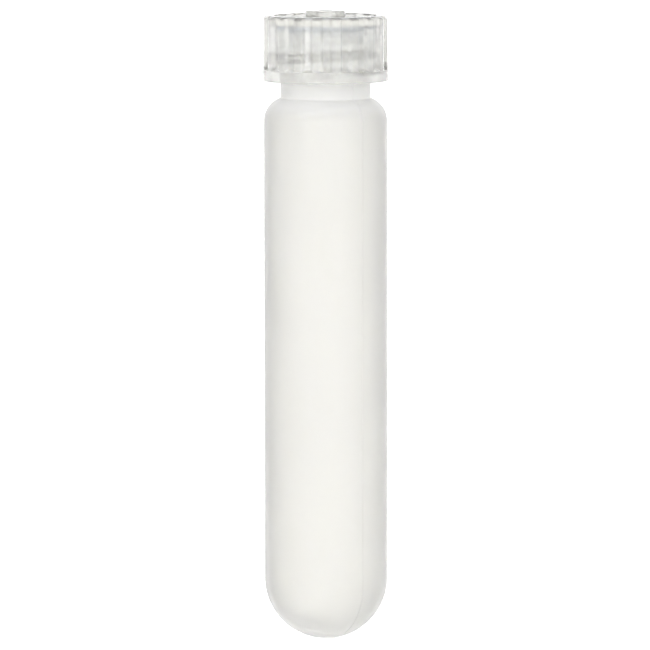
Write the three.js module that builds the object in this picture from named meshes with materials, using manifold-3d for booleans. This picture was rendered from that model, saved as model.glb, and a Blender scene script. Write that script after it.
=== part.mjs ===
// A laboratory test tube with a round bottom and a ribbed screw cap.
// It comes apart into three pieces: the moulded tube with its threaded neck, the moulded screw cap, and
// the soft ring that the cap presses onto the mouth of the tube.
// Millimetres, +Z up. The origin is the lowest point of the round bottom, on the axis of the tube.

import * as THREE from "three";
import { mergeVertices } from "three/addons/utils/BufferGeometryUtils.js";
import Module from "manifold-3d";

const wasm = await Module();
wasm.setup();

// ---- Driving dimensions ----

const tube = {
  length: 79.65, // lowest point of the bottom to the mouth
  bodyDiameter: 16,
  bodyWall: 1,
  bottomThickness: 2, // on the axis, where the moulding is thickest
  shoulderRound: 3.14, // outside radius of the shoulder's arc
  neckDiameter: 11.7,
  neckWall: 1.2,
  neckLength: 8.85, // top of the shoulder's arc to the mouth
};

const thread = {
  pitch: 2.1,
  neckTurns: 2.5,
  capTurns: 1.9,
  height: 0.75, // of the ridge on the neck
  crestWidth: 0.45,
  rootWidth: 1.1,
  runOutTurns: 0.2, // over which each end of a ridge sinks into its wall
  topBelowMouth: 0.6, // middle of the ridge at its upper end
  topAngle: 177.4, // degrees from +X, where the ridge on the neck ends
};

const cap = {
  skirtDepth: 7.35, // underside of the roof to the open end
  wall: 0.75, // between the bore and the valleys of the ribs
  roofThickness: 0.7,
  ribCount: 20,
  ribHeight: 0.45,
  ribWidth: 1.9,
  ribTopRound: 0.4,
  firstRibAngle: -97.9, // degrees from +X, which leaves one rib just left of the front
  bandHeight: 1.5, // plain band round the open end
  bandProud: 0.1, // beyond the tops of the ribs
  rimWidth: 0.9,
  rimRise: 0.45, // rim above the floor of the recess
  hubDiameter: 5.2,
  hubHeight: 1.05, // above the floor of the recess
};

const seal = {
  thickness: 0.4,
  innerDiameter: 8.7,
};

// ---- Clearances ----

const seatGap = 0.15; // left on each side of the seal ring, so that the closed pieces don't touch
const crestClearance = 0.35; // top of the neck's ridge to the bore of the cap
const capCrestClearance = 0.25; // top of the cap's ridge to the neck
const sealClearance = 0.3; // outside of the seal ring to the bore of the cap

// ---- What follows from them ----

const bodyRadius = tube.bodyDiameter / 2;
const boreRadius = bodyRadius - tube.bodyWall;
const neckRadius = tube.neckDiameter / 2;
const neckBoreRadius = neckRadius - tube.neckWall;

const sealBase = tube.length + seatGap;
const capRoofUnderside = sealBase + seal.thickness + seatGap;
const capOpenEnd = capRoofUnderside - cap.skirtDepth;
const recessFloor = capRoofUnderside + cap.roofThickness;
const rimTop = recessFloor + cap.rimRise;
const hubTop = recessFloor + cap.hubHeight;

const capBoreRadius = neckRadius + thread.height + crestClearance;
const capRidgeHeight = capBoreRadius - neckRadius - capCrestClearance;
const ribValleyRadius = capBoreRadius + cap.wall;
const ribTopRadius = ribValleyRadius + cap.ribHeight;
const bandRadius = ribTopRadius + cap.bandProud;

const fullTurn = 2 * Math.PI;
const roundSegments = 48; // flats in a full turn, and steps in a turn of thread
const arcSteps = 8; // flats in a quarter-round
const overrun = 1; // how far a cutter runs past the face that it cuts
const buried = 0.15; // how deep an added shape is set into the wall that carries it

// ---- Helpers ----

function solidFrom(geometry) {
  const bare = geometry.clone();
  bare.deleteAttribute("normal");
  bare.deleteAttribute("uv");
  const merged = mergeVertices(bare);
  const vertProperties = merged.attributes.position.array;
  const triVerts = new Uint32Array(merged.index.array);
  return new wasm.Manifold(new wasm.Mesh({ numProp: 3, vertProperties, triVerts }));
}

function meshFrom(name, solid, material) {
  const found = solid.getMesh();
  const geometry = new THREE.BufferGeometry();
  geometry.setAttribute("position", new THREE.BufferAttribute(found.vertProperties, 3));
  geometry.setIndex(new THREE.BufferAttribute(found.triVerts, 1));
  geometry.computeVertexNormals();
  const mesh = new THREE.Mesh(geometry, material);
  mesh.name = name;
  return mesh;
}

const at = (radius, height) => new THREE.Vector2(radius, height);

// Points of an arc in the radius-height plane. Angles are from straight outwards, positive upwards.
function arc(centreRadius, centreHeight, radius, startAngle, endAngle) {
  const steps = Math.max(2, Math.ceil((Math.abs(endAngle - startAngle) / (Math.PI / 2)) * arcSteps));
  return Array.from({ length: steps + 1 }, (_, i) => {
    const angle = startAngle + ((endAngle - startAngle) * i) / steps;
    return at(centreRadius + radius * Math.cos(angle), centreHeight + radius * Math.sin(angle));
  });
}

// A solid of revolution about Z, from a profile that starts and ends on the axis.
function turned(profile) {
  return solidFrom(new THREE.LatheGeometry(profile, roundSegments).rotateX(Math.PI / 2));
}

function disc(radius, base, top) {
  return turned([at(0, base), at(radius, base), at(radius, top), at(0, top)]);
}

function ring(innerRadius, outerRadius, base, top) {
  return disc(outerRadius, base, top).subtract(disc(innerRadius, base - overrun, top + overrun));
}

// ---- Screw thread ----

// The line that a ridge follows. Near both ends it moves by sink, so that the ridge runs out into its wall.
class ThreadPath extends THREE.Curve {
  constructor({ radius, top, turns, sink }) {
    super();
    Object.assign(this, { radius, top, turns, sink });
  }

  angleAt(t) {
    return THREE.MathUtils.degToRad(thread.topAngle) - (1 - t) * this.turns * fullTurn;
  }

  getPoint(t, target = new THREE.Vector3()) {
    const turnsToEnd = Math.min(t, 1 - t) * this.turns;
    const sunk = Math.max(0, 1 - turnsToEnd / thread.runOutTurns);
    const radius = this.radius + this.sink * sunk;
    const angle = this.angleAt(t);
    const height = this.top - (1 - t) * this.turns * thread.pitch;
    return target.set(radius * Math.cos(angle), radius * Math.sin(angle), height);
  }

  // Steps are even in angle, so that they line up with the flats of the turned shapes.
  getPointAt(t, target) {
    return this.getPoint(t, target);
  }

  // Frames that keep the ridge square to the axis of the tube.
  computeFrenetFrames(segments) {
    const frames = { tangents: [], normals: [], binormals: [] };
    for (let i = 0; i <= segments; i += 1) {
      const angle = this.angleAt(i / segments);
      frames.tangents.push(new THREE.Vector3(-Math.sin(angle), Math.cos(angle), 0));
      frames.normals.push(new THREE.Vector3(Math.cos(angle), Math.sin(angle), 0));
      frames.binormals.push(new THREE.Vector3(0, 0, -1));
    }
    return frames;
  }
}

// A helical ridge with a tapered section. Its height is positive outwards and negative inwards.
function ridge(path, height) {
  const root = -Math.sign(height) * buried;
  const section = new THREE.Shape([
    at(root, -thread.rootWidth / 2),
    at(height, -thread.crestWidth / 2),
    at(height, thread.crestWidth / 2),
    at(root, thread.rootWidth / 2),
  ]);
  const steps = Math.round(path.turns * roundSegments);
  return solidFrom(new THREE.ExtrudeGeometry(section, { extrudePath: path, steps, bevelEnabled: false }));
}

const ridgeTop = tube.length - thread.topBelowMouth;

function neckRidge() {
  const path = new ThreadPath({
    radius: neckRadius,
    top: ridgeTop,
    turns: thread.neckTurns,
    sink: -(thread.height + buried),
  });
  return ridge(path, thread.height);
}

// It runs half a pitch below the neck's ridge, so that the two interleave when the cap is closed.
function capRidge() {
  const path = new ThreadPath({
    radius: capBoreRadius,
    top: ridgeTop - thread.pitch / 2,
    turns: thread.capTurns,
    sink: capRidgeHeight + buried,
  });
  return ridge(path, -capRidgeHeight);
}

// ---- Tube ----

// Angle at which a shoulder arc meets the neck. Where the arc ends short of the neck it is a full quarter.
function shoulderEndAngle(roundRadius, neckWallRadius) {
  const reach = (neckWallRadius - (bodyRadius - tube.shoulderRound)) / roundRadius;
  return Math.acos(THREE.MathUtils.clamp(reach, 0, 1));
}

const shoulderRise = tube.shoulderRound * Math.sin(shoulderEndAngle(tube.shoulderRound, neckRadius));
const shoulderCentreRadius = bodyRadius - tube.shoulderRound;
const shoulderCentreHeight = tube.length - tube.neckLength - shoulderRise;

function bottleProfile(wallRadius, bottomHeight, roundRadius, neckWallRadius, topHeight) {
  const endAngle = shoulderEndAngle(roundRadius, neckWallRadius);
  return [
    ...arc(0, bottomHeight + wallRadius, wallRadius, -Math.PI / 2, 0),
    ...arc(shoulderCentreRadius, shoulderCentreHeight, roundRadius, 0, endAngle),
    at(neckWallRadius, shoulderCentreHeight + roundRadius * Math.sin(endAngle)),
    at(neckWallRadius, topHeight),
    at(0, topHeight),
  ];
}

function tubeBody() {
  const outside = bottleProfile(bodyRadius, 0, tube.shoulderRound, neckRadius, tube.length);
  const hollow = bottleProfile(
    boreRadius,
    tube.bottomThickness,
    tube.shoulderRound - tube.bodyWall,
    neckBoreRadius,
    tube.length + overrun,
  );
  return turned(outside).add(neckRidge()).subtract(turned(hollow));
}

// ---- Cap ----

// Radius of the ribbed skirt at an angle from the middle of the nearest rib.
function ribbedRadius(angle) {
  const halfRib = cap.ribWidth / 2 / ribTopRadius;
  const across = Math.abs(angle) / halfRib;
  return across < 1 ? ribValleyRadius + cap.ribHeight * Math.sqrt(1 - across * across) : ribValleyRadius;
}

function ribbedDrum() {
  const pointsPerRib = 8;
  const ribPitch = fullTurn / cap.ribCount;
  const outline = [];
  for (let rib = 0; rib < cap.ribCount; rib += 1) {
    for (let i = 0; i < pointsPerRib; i += 1) {
      const fromMiddle = (i / pointsPerRib - 0.5) * ribPitch;
      const angle = THREE.MathUtils.degToRad(cap.firstRibAngle) + rib * ribPitch + fromMiddle;
      const radius = ribbedRadius(fromMiddle);
      outline.push(at(radius * Math.cos(angle), radius * Math.sin(angle)));
    }
  }
  const base = capOpenEnd + cap.bandHeight / 2;
  const drum = new THREE.ExtrudeGeometry(new THREE.Shape(outline), {
    depth: rimTop - base - 2 * cap.ribTopRound,
    bevelThickness: cap.ribTopRound,
    bevelSize: cap.ribTopRound,
    bevelOffset: -cap.ribTopRound,
    bevelSegments: 3,
  });
  return solidFrom(drum.translate(0, 0, base + cap.ribTopRound));
}

function screwCap() {
  const band = disc(bandRadius, capOpenEnd, capOpenEnd + cap.bandHeight);
  const recess = disc(ribValleyRadius - cap.rimWidth, recessFloor, rimTop + overrun);
  const hub = disc(cap.hubDiameter / 2, recessFloor - buried, hubTop);
  const outside = ribbedDrum().add(band).subtract(recess).add(hub);
  const bore = disc(capBoreRadius, capOpenEnd - overrun, capRoofUnderside);
  return outside.subtract(bore).add(capRidge().intersect(outside));
}

// ---- Seal ----

function sealRing() {
  const outerRadius = capBoreRadius - sealClearance;
  return ring(seal.innerDiameter / 2, outerRadius, sealBase, sealBase + seal.thickness);
}

// ---- Materials and assembly ----

const frostedPolypropylene = new THREE.MeshStandardMaterial({
  color: 0xe9e8e3,
  roughness: 0.45,
  metalness: 0,
});
const clearPolypropylene = new THREE.MeshStandardMaterial({
  color: 0xdcdeda,
  roughness: 0.2,
  metalness: 0,
});
const siliconeRubber = new THREE.MeshStandardMaterial({
  color: 0xe4e4de,
  roughness: 0.6,
  metalness: 0,
});

const group = new THREE.Group();
group.add(
  meshFrom("tube_body", tubeBody(), frostedPolypropylene),
  meshFrom("seal_ring", sealRing(), siliconeRubber),
  meshFrom("screw_cap", screwCap(), clearPolypropylene),
);

export default group;
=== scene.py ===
"""A laboratory test tube with a round bottom, in frosted polypropylene, and its ribbed screw cap."""

from math import acos, ceil, cos, degrees, pi, radians, sin, sqrt

import bpy
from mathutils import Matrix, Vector


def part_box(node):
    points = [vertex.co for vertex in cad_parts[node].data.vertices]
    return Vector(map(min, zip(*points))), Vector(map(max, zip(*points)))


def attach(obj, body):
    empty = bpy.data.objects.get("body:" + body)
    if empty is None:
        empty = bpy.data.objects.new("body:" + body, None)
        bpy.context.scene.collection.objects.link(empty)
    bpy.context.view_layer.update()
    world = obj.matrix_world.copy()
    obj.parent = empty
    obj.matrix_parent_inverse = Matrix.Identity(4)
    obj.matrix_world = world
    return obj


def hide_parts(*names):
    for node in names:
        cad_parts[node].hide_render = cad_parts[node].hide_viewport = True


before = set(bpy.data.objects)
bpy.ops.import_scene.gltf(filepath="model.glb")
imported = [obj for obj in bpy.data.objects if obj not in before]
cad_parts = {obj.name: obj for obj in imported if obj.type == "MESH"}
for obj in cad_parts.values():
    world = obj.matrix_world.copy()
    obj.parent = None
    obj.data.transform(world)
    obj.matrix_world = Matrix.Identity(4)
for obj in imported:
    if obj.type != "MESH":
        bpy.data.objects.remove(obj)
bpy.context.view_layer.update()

MM = 0.001

# ---------------------------------------------------------------------------------------------------
# Sizes, in millimetres. The outside sizes come from the frame.
# ---------------------------------------------------------------------------------------------------

tube_low, tube_high = (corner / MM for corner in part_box("tube_body"))
cap_low, cap_high = (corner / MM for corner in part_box("screw_cap"))
seal_low, seal_high = (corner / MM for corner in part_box("seal_ring"))

BODY_RADIUS = tube_high.x
WALL = 1.0
MOUTH = tube_high.z
BOTTOM_THICKNESS = 2.0
SHOULDER_ROUND = 3.14
NECK_RADIUS = 5.85
NECK_BORE = 4.65
NECK_LENGTH = 8.85
LIP_ROUND = 0.3
INNER_BEND = 0.2
INNER_BEND_ROUND = 0.18

THREAD_PITCH = 2.1
THREAD_HEIGHT = 0.75
THREAD_TOP = MOUTH - 0.6
THREAD_TOP_ANGLE = radians(177.4)
THREAD_RUN_OUT = radians(72)
NECK_TURNS = 2.5
CAP_TURNS = 1.9
ROOT_WIDTH = 1.1
SOFT_ROOT_WIDTH = 1.5

CAP_OPEN_END = cap_low.z
HUB_TOP = cap_high.z
BAND_RADIUS = cap_high.x
BAND_HEIGHT = 1.5
LEDGE_SLOPE = 0.3
LEDGE_INSET = 0.15
CAP_BORE = 6.95
CAP_BORE_LEAD = 0.4
SEAL_GAP = 0.15
ROOF_THICKNESS = 0.7
RIM_HEIGHT = 0.45
CAP_THREAD_HEIGHT = 0.85
ROOF_UNDERSIDE = seal_high.z + SEAL_GAP
RECESS_FLOOR = ROOF_UNDERSIDE + ROOF_THICKNESS
RIM_TOP = RECESS_FLOOR + RIM_HEIGHT
RIM_WIDTH = 0.9
HUB_RADIUS = 2.6
GATE_RADIUS = 0.7
GATE_DEPTH = 0.25
VALLEY_RADIUS = 7.7
RIB_COUNT = 20
RIB_HEIGHT = 0.45
RIB_WIDTH = 1.6
RIB_FLANK = 0.3
RIB_TOP_ROUND = 0.65
FIRST_RIB_ANGLE = radians(-97.9)
SKIRT_DRAFT = 0.04

HUB_ROUND = 0.2
EDGE_ROUND = 0.15
RIM_INNER_ROUND = 0.12
RIM_OUTER_ROUND = 0.5
BAND_TOP_ROUND = 0.1
ROOF_ROUND = 0.25

SEAL_BORE = 4.35
SEAL_ROUND = 0.12

PARTING_ANGLES = (radians(-53), radians(127))
PARTING_WIDTH = radians(1.6)
PARTING_HEIGHT = 0.06

FULL_TURN = 2 * pi
TUBE_ANGLES = 256
ANGLES_PER_RIB = 18
SEAL_ANGLES = 160
CORNER_STEPS = 5
OUTWARDS = Vector((1, 0))


# ---------------------------------------------------------------------------------------------------
# Spun surfaces
# ---------------------------------------------------------------------------------------------------


def smooth_step(value):
    value = min(1.0, max(0.0, value))
    return value * value * (3 - 2 * value)


def arc(centre, radius, start, end, steps):
    """Points of an arc in the radius-height plane. Angles are in degrees, from straight outwards."""
    angles = (radians(start + (end - start) * i / steps) for i in range(steps + 1))
    return [(centre[0] + radius * cos(a), centre[1] + radius * sin(a)) for a in angles]


def line(start, end, steps):
    """Points after start, up to and with end."""
    return [
        (start[0] + (end[0] - start[0]) * i / steps, start[1] + (end[1] - start[1]) * i / steps)
        for i in range(1, steps + 1)
    ]


def rounded(corners, steps=CORNER_STEPS):
    """An outline through (radius, height, round) corners, each rounded by its own radius."""
    outline = []
    for i, (r, z, fillet) in enumerate(corners):
        here = Vector((r, z))
        if fillet == 0:
            outline.append((r, z))
            continue
        before = Vector(corners[i - 1][:2]) - here
        after = Vector(corners[(i + 1) % len(corners)][:2]) - here
        half = before.angle(after) / 2
        reach = fillet / sin(half) * cos(half)
        start = here + before.normalized() * reach
        end = here + after.normalized() * reach
        centre = here + (before.normalized() + after.normalized()).normalized() * (fillet / sin(half))
        for step in range(steps + 1):
            chord = start.lerp(end, step / steps) - centre
            outline.append(tuple(centre + chord.normalized() * fillet))
    return outline


def spun(name, stretches, angles):
    """One closed skin turned round Z.

    stretches are (points, relief) pairs that follow each other along the outline. A relief says how far a
    point moves, as a function of the angle and the point's radius and height. Ribs move it straight outwards,
    and the other reliefs along the outline's own normal.
    """
    outline, reliefs = [], []
    for points, relief in stretches:
        for point in points:
            if not outline or (Vector(point) - Vector(outline[-1])).length > 1e-5:
                outline.append(point)
                reliefs.append(relief)
    verts, rows = [], []
    last = len(outline) - 1
    closed = outline[0][0] > 1e-6
    for i, (r, z) in enumerate(outline):
        ahead = outline[(i + 1) % (last + 1)] if closed else outline[min(i + 1, last)]
        behind = outline[i - 1] if closed else outline[max(i - 1, 0)]
        along = Vector((ahead[0] - behind[0], ahead[1] - behind[1])).normalized()
        normal = OUTWARDS if reliefs[i] in (ribs, ribs_on_ledge) else Vector((along.y, -along.x))
        if r < 1e-6:
            rows.append([len(verts)] * len(angles))
            verts.append((0, 0, z * MM))
            continue
        row = []
        for angle in angles:
            out = reliefs[i](angle, r, z) if reliefs[i] else 0
            radius, height = r + normal.x * out, z + normal.y * out
            row.append(len(verts))
            verts.append((radius * cos(angle) * MM, radius * sin(angle) * MM, height * MM))
        rows.append(row)
    faces = []
    pairs = list(zip(rows, rows[1:])) + ([(rows[-1], rows[0])] if closed else [])
    for lower, upper in pairs:
        for j in range(len(angles)):
            k = (j + 1) % len(angles)
            ring = [lower[j], lower[k], upper[k], upper[j]]
            faces.append([v for n, v in enumerate(ring) if v not in ring[:n]])
    mesh = bpy.data.meshes.new(name)
    mesh.from_pydata(verts, [], faces)
    mesh.shade_smooth()
    mesh.update()
    piece = bpy.data.objects.new(name, mesh)
    bpy.context.scene.collection.objects.link(piece)
    return piece


# ---------------------------------------------------------------------------------------------------
# Reliefs: threads, ribs and parting lines
# ---------------------------------------------------------------------------------------------------


def square_ridge(offset):
    """Height of the neck's ridge, from 0 to 1, at this distance along Z from its middle."""
    across = abs(offset) / (ROOT_WIDTH / 2)
    return (1 - across**3) ** 0.6 if across < 1 else 0.0


def soft_ridge(offset):
    """Height of the cap's ridge, which has to strip off the mould core and is rounder."""
    return smooth_step(1 - abs(offset) / (SOFT_ROOT_WIDTH / 2))


def helix(angle, z, top, turns, section):
    """Share of a full ridge at this place on a thread that ends at height top."""
    highest = 0.0
    lead = (THREAD_TOP_ANGLE - angle) % FULL_TURN
    for turn in range(ceil(turns) + 1):
        back = lead + turn * FULL_TURN
        run = turns * FULL_TURN
        if back > run:
            break
        middle = top - THREAD_PITCH * back / FULL_TURN
        taper = smooth_step(min(back, run - back) / THREAD_RUN_OUT)
        highest = max(highest, section(z - middle) * taper)
    return highest


def parting_line(angle):
    nearest = min(abs((angle - seam + pi) % FULL_TURN - pi) for seam in PARTING_ANGLES)
    return PARTING_HEIGHT * smooth_step(1 - nearest / (PARTING_WIDTH / 2))


def moulded(angle, r, z):
    return parting_line(angle)


def neck_thread(angle, r, z):
    return THREAD_HEIGHT * helix(angle, z, THREAD_TOP, NECK_TURNS, square_ridge) + parting_line(angle)


def cap_thread(angle, r, z):
    return CAP_THREAD_HEIGHT * helix(angle, z, THREAD_TOP - THREAD_PITCH / 2, CAP_TURNS, soft_ridge)


def ribs_on_ledge(angle, r, z):
    """The foot of a rib, where it runs into the sloping top of the band."""
    return max(0.0, VALLEY_RADIUS + ribs(angle, r, z) - r)


def ribs(angle, r, z):
    pitch = FULL_TURN / RIB_COUNT
    from_middle = (angle - FIRST_RIB_ANGLE + pitch / 2) % pitch - pitch / 2
    inside_edge = RIB_WIDTH / 2 - abs(from_middle) * VALLEY_RADIUS
    up = min(1.0, max(0.0, (z - (RIM_TOP - RIB_TOP_ROUND)) / RIB_TOP_ROUND))
    return RIB_HEIGHT * smooth_step(inside_edge / RIB_FLANK) * sqrt(1 - up * up)


def even_angles(count):
    return [FULL_TURN * i / count for i in range(count)]


def seamed_angles(count):
    """Even angles, with more of them at the parting lines."""
    fine = 8
    found = [a for a in even_angles(count) if not parting_line(a)]
    for seam in PARTING_ANGLES:
        found += [(seam + PARTING_WIDTH * (i / fine - 0.5)) % FULL_TURN for i in range(fine + 1)]
    return sorted(found)


# ---------------------------------------------------------------------------------------------------
# Pieces
# ---------------------------------------------------------------------------------------------------


def tube_piece():
    inner = BODY_RADIUS - WALL
    centre = BODY_RADIUS - SHOULDER_ROUND
    end = degrees(acos((NECK_RADIUS - centre) / SHOULDER_ROUND))
    middle = MOUTH - NECK_LENGTH - SHOULDER_ROUND * sin(radians(end))
    inner_round = SHOULDER_ROUND - WALL
    neck_base = MOUTH - NECK_LENGTH
    gate_edge = degrees((GATE_RADIUS + GATE_DEPTH) / BODY_RADIUS)
    gate = [(0, GATE_DEPTH), (GATE_RADIUS, GATE_DEPTH)]
    bottom = arc((0, BODY_RADIUS), BODY_RADIUS, gate_edge - 90, 0, 40)
    body = line(bottom[-1], (BODY_RADIUS, middle), 12)
    shoulder = arc((centre, middle), SHOULDER_ROUND, 0, end, 16)
    neck = line((NECK_RADIUS, neck_base), (NECK_RADIUS, MOUTH - LIP_ROUND), 160)
    lip = arc((NECK_RADIUS - LIP_ROUND, MOUTH - LIP_ROUND), LIP_ROUND, 0, 90, 6)
    inner_lip = arc((NECK_BORE + LIP_ROUND, MOUTH - LIP_ROUND), LIP_ROUND, 90, 180, 6)
    inner_top = middle + inner_round
    bore_foot = inner_top + INNER_BEND
    bore = line(inner_lip[-1], (NECK_BORE, bore_foot), 10)
    bend = rounded(
        [(NECK_BORE, bore_foot, 0), (NECK_BORE, inner_top, INNER_BEND_ROUND), (centre, inner_top, 0)],
        steps=3,
    )
    inner_shoulder = arc((centre, middle), inner_round, 90, 0, 14)
    inside = line(inner_shoulder[-1], (inner, BOTTOM_THICKNESS + inner), 12)
    inner_bottom = arc((0, BOTTOM_THICKNESS + inner), inner, 0, -90, 36)
    piece = spun(
        "tube_body_moulding",
        [
            (gate, None),
            (bottom + body + shoulder, moulded),
            (neck, neck_thread),
            (lip + inner_lip + bore + bend[1:-1] + inner_shoulder + inside + inner_bottom, None),
        ],
        seamed_angles(TUBE_ANGLES),
    )
    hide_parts("tube_body")
    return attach(piece, "tube")


def cap_piece():
    rim_inner = VALLEY_RADIUS - RIM_WIDTH
    band_top = CAP_OPEN_END + BAND_HEIGHT
    top = rounded(
        [
            (0, HUB_TOP - GATE_DEPTH, 0),
            (GATE_RADIUS, HUB_TOP - GATE_DEPTH, HUB_ROUND),
            (GATE_RADIUS + GATE_DEPTH, HUB_TOP, EDGE_ROUND),
            (HUB_RADIUS, HUB_TOP, HUB_ROUND),
            (HUB_RADIUS, RECESS_FLOOR, EDGE_ROUND),
            (rim_inner, RECESS_FLOOR, EDGE_ROUND),
            (rim_inner, RIM_TOP, RIM_INNER_ROUND),
            (VALLEY_RADIUS - SKIRT_DRAFT, RIM_TOP, RIM_OUTER_ROUND),
            (VALLEY_RADIUS, band_top + LEDGE_SLOPE, 0),
        ]
    )
    # The outline ends with the rounded corner of the rim and the foot of the wall, which is made below.
    rim_start = -(CORNER_STEPS + 2)
    top, rim_corner = top[:rim_start], top[rim_start:-1]
    wall = line(rim_corner[-1], (VALLEY_RADIUS - SKIRT_DRAFT, RIM_TOP - RIB_TOP_ROUND), 8)
    wall += line(wall[-1], (VALLEY_RADIUS, band_top + LEDGE_SLOPE), 6)
    ledge = line(wall[-1], (BAND_RADIUS - LEDGE_INSET, band_top), 6)
    bore_start = CAP_OPEN_END + CAP_BORE_LEAD
    bore_end = ROOF_UNDERSIDE - CAP_BORE_LEAD
    band = rounded(
        [
            (BAND_RADIUS - BAND_TOP_ROUND, band_top, 0),
            (BAND_RADIUS, band_top - BAND_TOP_ROUND / 2, BAND_TOP_ROUND),
            (BAND_RADIUS, CAP_OPEN_END, EDGE_ROUND),
            (CAP_BORE, CAP_OPEN_END, EDGE_ROUND),
            (CAP_BORE, bore_start, 0),
        ]
    )
    bore = line((CAP_BORE, bore_start), (CAP_BORE, bore_end), 130)
    roof = rounded([(CAP_BORE, bore_end, 0), (CAP_BORE, ROOF_UNDERSIDE, ROOF_ROUND), (0, ROOF_UNDERSIDE, 0)])
    # The outline runs from the top of the hub outwards and down. It is turned round so its normals point out.
    stretches = [
        (top, None),
        (rim_corner + wall, ribs),
        (ledge, ribs_on_ledge),
        (band, None),
        (bore, cap_thread),
        (roof, None),
    ]
    backwards = [(points[::-1], relief) for points, relief in stretches[::-1]]
    piece = spun("screw_cap_moulding", backwards, even_angles(RIB_COUNT * ANGLES_PER_RIB))
    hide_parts("screw_cap")
    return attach(piece, "cap")


def seal_piece():
    ring = rounded(
        [
            (SEAL_BORE, seal_low.z, SEAL_ROUND),
            (seal_high.x, seal_low.z, SEAL_ROUND),
            (seal_high.x, seal_high.z, SEAL_ROUND),
            (SEAL_BORE, seal_high.z, SEAL_ROUND),
        ]
    )
    piece = spun("seal_ring_soft", [(ring, None)], even_angles(SEAL_ANGLES))
    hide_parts("seal_ring")
    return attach(piece, "seal")


# ---------------------------------------------------------------------------------------------------
# Materials
# ---------------------------------------------------------------------------------------------------


def linear(hex_colour):
    """A shader colour from an sRGB hex value."""
    channels = (int(hex_colour[i : i + 2], 16) / 255 for i in (1, 3, 5))
    return tuple(c / 12.92 if c <= 0.04045 else ((c + 0.055) / 1.055) ** 2.4 for c in channels) + (1.0,)


def add(tree, kind, links=None, **settings):
    """Adds a node.

    settings are its properties and its sockets by name, and links are its sockets and what feeds them.
    """
    node = tree.nodes.new(kind)
    for name, value in settings.items():
        if hasattr(node, name):
            setattr(node, name, value)
        else:
            node.inputs[name.replace("_", " ")].default_value = value
    for name, source in (links or {}).items():
        tree.links.new(source, node.inputs[name])
    return node


def new_material(name):
    material = bpy.data.materials.new(name)
    material.use_nodes = True
    material.node_tree.nodes.clear()
    return material, material.node_tree


def patches(tree, place, size, low, high, stretch=1.0):
    """A number that drifts from low to high in soft patches of this size, drawn out along Z by stretch."""
    drawn = add(tree, "ShaderNodeMapping", {"Vector": place.outputs["Object"]}, Scale=(1, 1, 1 / stretch))
    noise = add(
        tree,
        "ShaderNodeTexNoise",
        {"Vector": drawn.outputs["Vector"]},
        Scale=1 / (size * MM),
        Detail=3.0,
        Roughness=0.55,
    )
    level = add(
        tree,
        "ShaderNodeMapRange",
        {"Value": noise.outputs["Fac"]},
        From_Min=0.3,
        From_Max=0.7,
        To_Min=low,
        To_Max=high,
    )
    return level.outputs["Result"]


def mould_texture(tree, place, grain, depth):
    """The fine pits that the mould leaves, as a normal. grain and depth are in millimetres."""
    pits = add(
        tree,
        "ShaderNodeTexNoise",
        {"Vector": place.outputs["Object"]},
        Scale=1 / (grain * MM),
        Detail=2.0,
        Roughness=0.6,
    )
    bump = add(
        tree,
        "ShaderNodeBump",
        {"Height": pits.outputs["Fac"]},
        Strength=1.0,
        Distance=depth * MM,
    )
    return bump.outputs["Normal"]


def tint(tree, amount, first, second):
    """A colour between two, by the amount."""
    mix = add(
        tree,
        "ShaderNodeMix",
        {"Factor": amount},
        data_type="RGBA",
    )
    mix.inputs["A"].default_value = linear(first)
    mix.inputs["B"].default_value = linear(second)
    return mix


# How much of the light goes straight through, from 0, milky, to 1, clear. The levels are set for each
# height, and aren't measured from a plastic. The neck's wall is as thick between the thread's ridges as below
# them, and is set milkier there only so that its brightness looks right behind the cap.
# Painted light and shade: the shoulder is set very milky, which paints it brighter where it lies in shade
# under the cap. The upper body is set a little milkier, which paints it darker towards the shoulder. The
# neck's valleys behind the cap are set milkier, which paints them brighter.
BODY_CLARITY = 0.72
UPPER_BODY_PAINTED_SHADE_CLARITY = 0.66
SHOULDER_PAINTED_LIGHT_CLARITY = 0.1
NECK_CLARITY = 0.36
VALLEY_PAINTED_LIGHT_CLARITY = 0.12
# The ridges are milkier partly because they are thicker, and partly as a painted highlight that stands in for
# the lamp's glint on them.
RIDGE_THICK_AND_PAINTED_HIGHLIGHT_CLARITY = 0.0
UPPER_BODY_DEPTH = 16.0
SHOULDER_DEPTH = 3.0


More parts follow.
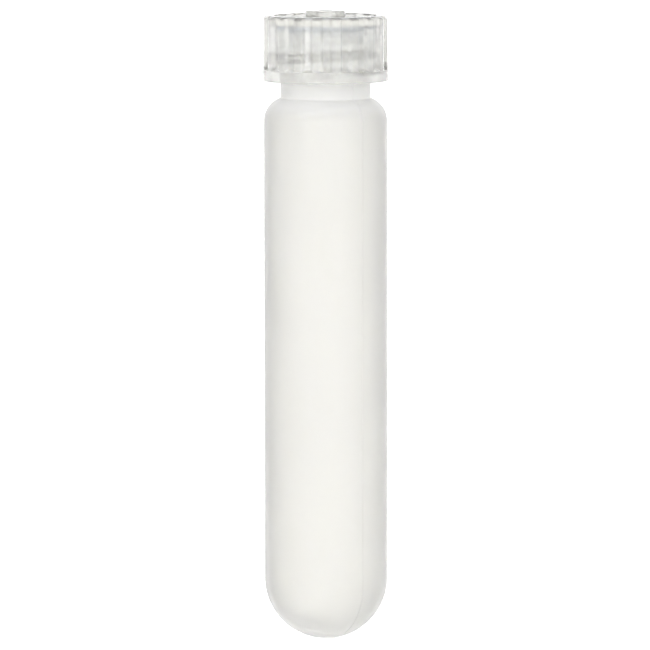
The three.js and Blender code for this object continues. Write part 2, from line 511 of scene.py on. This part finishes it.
def clarity_and_painted_light(tree, place):
    neck_base = MOUTH - NECK_LENGTH
    axes = add(tree, "ShaderNodeSeparateXYZ", {"Vector": place.outputs["Object"]})
    flat = add(tree, "ShaderNodeCombineXYZ", {"X": axes.outputs["X"], "Y": axes.outputs["Y"]})
    radius = add(tree, "ShaderNodeVectorMath", {0: flat.outputs["Vector"]}, operation="LENGTH")
    # Painted shade: the upper body turns a little milkier towards the shoulder, which paints it darker there.
    body = add(
        tree,
        "ShaderNodeMapRange",
        {"Value": axes.outputs["Z"]},
        From_Min=(neck_base - UPPER_BODY_DEPTH) * MM,
        From_Max=(neck_base - SHOULDER_DEPTH) * MM,
        To_Min=BODY_CLARITY,
        To_Max=UPPER_BODY_PAINTED_SHADE_CLARITY,
        interpolation_type="SMOOTHSTEP",
    )
    # Painted light: the shoulder turns very milky, which paints it brighter in the shade under the cap.
    painted_light_below_neck = add(
        tree,
        "ShaderNodeMapRange",
        {"Value": axes.outputs["Z"], "To Min": body.outputs["Result"]},
        From_Min=(neck_base - SHOULDER_DEPTH) * MM,
        From_Max=neck_base * MM,
        To_Max=SHOULDER_PAINTED_LIGHT_CLARITY,
        interpolation_type="SMOOTHSTEP",
    )
    on_neck = add(
        tree,
        "ShaderNodeMapRange",
        {"Value": axes.outputs["Z"]},
        From_Min=(neck_base + 0.1) * MM,
        From_Max=(neck_base + 0.8) * MM,
    )
    thread_foot = THREAD_TOP - THREAD_PITCH * NECK_TURNS
    # Painted light: the neck's valleys behind the cap turn milkier, which paints them brighter.
    painted_light_valley = add(
        tree,
        "ShaderNodeMapRange",
        {"Value": axes.outputs["Z"]},
        From_Min=(thread_foot - 0.3) * MM,
        From_Max=(thread_foot + 0.7) * MM,
        To_Min=NECK_CLARITY,
        To_Max=VALLEY_PAINTED_LIGHT_CLARITY,
        interpolation_type="SMOOTHSTEP",
    )
    # Thick ridges and painted highlight: the ridges turn fully milky, partly for their thickness and partly
    # to paint the lamp's glint on them.
    thick_ridge_and_painted_highlight = add(
        tree,
        "ShaderNodeMapRange",
        {"Value": radius.outputs["Value"], "To Min": painted_light_valley.outputs["Result"]},
        From_Min=(NECK_RADIUS + 0.1) * MM,
        From_Max=(NECK_RADIUS + 0.45) * MM,
        To_Max=RIDGE_THICK_AND_PAINTED_HIGHLIGHT_CLARITY,
    )
    clarity = add(
        tree,
        "ShaderNodeMix",
        {
            "Factor": on_neck.outputs["Result"],
            "A": painted_light_below_neck.outputs["Result"],
            "B": thick_ridge_and_painted_highlight.outputs["Result"],
        },
    )
    return clarity.outputs["Result"]


def frosted_polypropylene():
    """The tube: random polypropylene, injection moulded in a cavity that was finished by spark erosion.

    The eye gets a milky wall with a satin skin, brighter where it is thick, with a faint cloudiness drawn
    along the flow of the melt. Its clarity also paints light and shade: a brighter shoulder, a darker upper
    body, brighter neck valleys behind the cap and a painted highlight on the thread's ridges. Such pits are
    about
    0.03 mm apart, and are drawn at 0.3 mm to show. The coat has the plastic's usual IOR of 1.49. Under it the
    IOR and specular level are set lower than the plastic's, because the outline shone at the usual ones.
    """
    material, tree = new_material("moulded_frosted_polypropylene")
    place = add(tree, "ShaderNodeTexCoord")
    cloud = patches(tree, place, 4.0, 0.0, 1.0, stretch=3.0)
    colour = tint(tree, cloud, "#fffefb", "#fdfcf7")
    shell = add(
        tree,
        "ShaderNodeBsdfPrincipled",
        {
            "Base Color": colour.outputs["Result"],
            "Transmission Weight": clarity_and_painted_light(tree, place),
            "Roughness": patches(tree, place, 6.0, 0.33, 0.4),
            "Normal": mould_texture(tree, place, 0.3, 0.004),
        },
        IOR=1.4,
        Specular_IOR_Level=0.2,
        Subsurface_Weight=1.0,
        Subsurface_Radius=(1.0, 1.0, 0.95),
        Subsurface_Scale=0.0012,
        Coat_Weight=0.4,
        Coat_Roughness=0.15,
        Coat_IOR=1.49,
    )
    inside = add(tree, "ShaderNodeVolumeAbsorption", Color=linear("#ebe9df"), Density=60.0)
    add(
        tree,
        "ShaderNodeOutputMaterial",
        {"Surface": shell.outputs["BSDF"], "Volume": inside.outputs["Volume"]},
    )
    return material


def natural_polypropylene():
    """The cap: uncoloured polypropylene, injection moulded in a polished cavity and stripped off its core.

    The eye gets a clear but slightly hazy shell with soft edges: the neck's thread and the seal show through
    it, blurred. The haze drifts a little where the melt cooled slower. The skin's faint unevenness is drawn
    0.8 mm apart, which is coarse enough to show. The IOR under the coat is set lower than the plastic's 1.49,
    so that light bends less on its way through the shell.
    """
    material, tree = new_material("moulded_natural_polypropylene")
    place = add(tree, "ShaderNodeTexCoord")
    haze = patches(tree, place, 3.0, 0.0, 1.0)
    colour = tint(tree, haze, "#fdfdfb", "#f9faf7")
    shell = add(
        tree,
        "ShaderNodeBsdfPrincipled",
        {
            "Base Color": colour.outputs["Result"],
            "Transmission Weight": patches(tree, place, 3.0, 0.86, 0.8),
            "Roughness": patches(tree, place, 2.0, 0.08, 0.12, stretch=2.0),
            "Normal": mould_texture(tree, place, 0.8, 0.006),
        },
        IOR=1.3,
        Subsurface_Weight=1.0,
        Subsurface_Radius=(1.0, 1.0, 1.0),
        Subsurface_Scale=0.001,
        Coat_Weight=1.0,
        Coat_Roughness=0.04,
        Coat_IOR=1.49,
    )
    inside = add(tree, "ShaderNodeVolumeAbsorption", Color=linear("#e6e5de"), Density=90.0)
    add(
        tree,
        "ShaderNodeOutputMaterial",
        {"Surface": shell.outputs["BSDF"], "Volume": inside.outputs["Volume"]},
    )
    return material


def silicone_rubber():
    """The seal: translucent silicone rubber, punched from moulded sheet.

    The eye gets a soft, dull ring with a cool cast, which shows through the cap as a bluish band. Its grain
    is drawn at 0.25 mm, which is coarse enough to show.
    """
    material, tree = new_material("punched_silicone_rubber")
    place = add(tree, "ShaderNodeTexCoord")
    cloud = patches(tree, place, 1.5, 0.0, 1.0)
    colour = tint(tree, cloud, "#eaf1fa", "#e1e9f4")
    shell = add(
        tree,
        "ShaderNodeBsdfPrincipled",
        {
            "Base Color": colour.outputs["Result"],
            "Roughness": patches(tree, place, 0.8, 0.45, 0.6),
            "Normal": mould_texture(tree, place, 0.25, 0.006),
        },
        IOR=1.41,
        Transmission_Weight=0.35,
    )
    add(tree, "ShaderNodeOutputMaterial", {"Surface": shell.outputs["BSDF"]})
    return material


# ---------------------------------------------------------------------------------------------------
# Studio
# ---------------------------------------------------------------------------------------------------

OBJECT_MIDDLE = Vector((0, 0, 0.5 * (tube_low.z + cap_high.z) * MM))
CAMERA_DISTANCE = 0.70
CAMERA_ELEVATION = radians(6)
CAMERA_ROLL = radians(-0.07)
CAMERA_LENS = 297.7
CAMERA_SHIFT_X = -0.0012
CAMERA_SHIFT_Y = 0.0012
FRONT_BRIGHTNESS = 1.2
SIDE_BRIGHTNESS = 0.48
ROOF_BRIGHTNESS = 0.52
BRIGHT_CENTRE = 0.1
FLOOR_GLOW = 0.75
FLOOR_HALF_WIDTH = 6.0
FLOOR_HEIGHT = -0.03
WHITE = (1, 1, 1, 1)

# Soft boxes: name, azimuth, elevation, distance in metres, size in metres, power in watts.
SOFT_BOXES = (
    ("window", -43, 47, 1.0, (0.45, 0.06), 1.4),
    ("left_strip", -36, 10.6, 1.2, (0.12, 0.5), 1.1),
    ("right_strip", 30, 10.6, 1.2, (0.1, 0.5), 1.0),
    ("front_fill", 3, 3, 1.5, (1.2, 0.8), 2.0),
)


def studio_camera():
    data = bpy.data.cameras.new("studio_camera")
    data.lens = CAMERA_LENS
    data.sensor_width = 36
    data.clip_start = 0.01
    data.shift_x = CAMERA_SHIFT_X
    data.shift_y = CAMERA_SHIFT_Y
    camera = bpy.data.objects.new("studio_camera", data)
    bpy.context.scene.collection.objects.link(camera)
    back = Vector((0, -cos(CAMERA_ELEVATION), sin(CAMERA_ELEVATION)))
    camera.location = OBJECT_MIDDLE + back * CAMERA_DISTANCE
    camera.rotation_euler = (-back).to_track_quat("-Z", "Y").to_euler()
    camera.rotation_euler.rotate_axis("Z", CAMERA_ROLL)
    bpy.context.scene.camera = camera


def soft_light(name, azimuth, elevation, distance, size, power):
    """A soft box aimed at the middle of the tube. Azimuth 0 is the front, positive to the right."""
    data = bpy.data.lights.new(name, "AREA")
    data.shape = "RECTANGLE"
    data.size, data.size_y = size
    data.energy = power
    light = bpy.data.objects.new(name, data)
    bpy.context.scene.collection.objects.link(light)
    a, e = radians(azimuth), radians(elevation)
    out = Vector((sin(a) * cos(e), -cos(a) * cos(e), sin(e)))
    light.location = OBJECT_MIDDLE + out * distance
    light.rotation_euler = (-out).to_track_quat("-Z", "Y").to_euler()


def studio():
    """White to the camera. To the tube it is bright in front and behind, and darker beside and above it."""
    world = bpy.data.worlds.new("white_studio")
    world.use_nodes = True
    tree = world.node_tree
    tree.nodes.clear()
    place = add(tree, "ShaderNodeTexCoord")
    direction = add(tree, "ShaderNodeSeparateXYZ", {"Vector": place.outputs["Generated"]})
    from_centre = add(tree, "ShaderNodeMath", {0: direction.outputs["X"]}, operation="SUBTRACT")
    from_centre.inputs[1].default_value = BRIGHT_CENTRE
    sideways = add(tree, "ShaderNodeMath", {0: from_centre.outputs["Value"]}, operation="ABSOLUTE")
    spread = add(
        tree,
        "ShaderNodeMapRange",
        {"Value": sideways.outputs["Value"]},
        From_Min=0.5,
        From_Max=0.9,
        To_Min=FRONT_BRIGHTNESS,
        To_Max=SIDE_BRIGHTNESS,
        interpolation_type="SMOOTHSTEP",
    )
    upwards = add(
        tree,
        "ShaderNodeMapRange",
        {"Value": direction.outputs["Z"]},
        From_Min=0.1,
        From_Max=0.9,
        To_Min=1.0,
        To_Max=ROOF_BRIGHTNESS,
        interpolation_type="SMOOTHSTEP",
    )
    strength = add(
        tree,
        "ShaderNodeMath",
        {0: spread.outputs["Result"], 1: upwards.outputs["Result"]},
        operation="MULTIPLY",
    )
    seen = add(tree, "ShaderNodeLightPath")
    tent = add(tree, "ShaderNodeBackground", {"Strength": strength.outputs["Value"]}, Color=WHITE)
    backdrop = add(tree, "ShaderNodeBackground", Color=WHITE, Strength=1.0)
    mix = add(
        tree,
        "ShaderNodeMixShader",
        {
            "Fac": seen.outputs["Is Camera Ray"],
            1: tent.outputs["Background"],
            2: backdrop.outputs["Background"],
        },
    )
    add(tree, "ShaderNodeOutputWorld", {"Surface": mix.outputs["Shader"]})
    bpy.context.scene.world = world
    bpy.context.scene.view_settings.view_transform = "Standard"
    bpy.context.scene.cycles.max_bounces = 24
    bpy.context.scene.cycles.transmission_bounces = 24
    bpy.context.scene.cycles.diffuse_bounces = 8
    bpy.context.scene.cycles.glossy_bounces = 8


def floor_sheet():
    """White paper under the tube. It glows as white as the backdrop to the camera, and less to the tube."""
    mesh = bpy.data.meshes.new("floor")
    half = FLOOR_HALF_WIDTH
    corners = [(x, y, FLOOR_HEIGHT) for x, y in ((-half, -half), (half, -half), (half, half), (-half, half))]
    mesh.from_pydata(corners, [], [(0, 1, 2, 3)])
    floor = bpy.data.objects.new("floor", mesh)
    bpy.context.scene.collection.objects.link(floor)
    material, tree = new_material("white_paper")
    seen = add(tree, "ShaderNodeLightPath")
    glow = add(
        tree,
        "ShaderNodeMapRange",
        {"Value": seen.outputs["Is Camera Ray"]},
        To_Min=FLOOR_GLOW,
        To_Max=1.0,
    )
    paper = add(
        tree,
        "ShaderNodeBsdfPrincipled",
        {"Emission Strength": glow.outputs["Result"]},
        Base_Color=(0.6, 0.6, 0.6, 1),
        Roughness=1.0,
        Emission_Color=WHITE,
    )
    add(tree, "ShaderNodeOutputMaterial", {"Surface": paper.outputs["BSDF"]})
    mesh.materials.append(material)


studio_camera()
studio()
floor_sheet()
for soft_box in SOFT_BOXES:
    soft_light(*soft_box)
tube_piece().data.materials.append(frosted_polypropylene())
cap_piece().data.materials.append(natural_polypropylene())
seal_piece().data.materials.append(silicone_rubber())
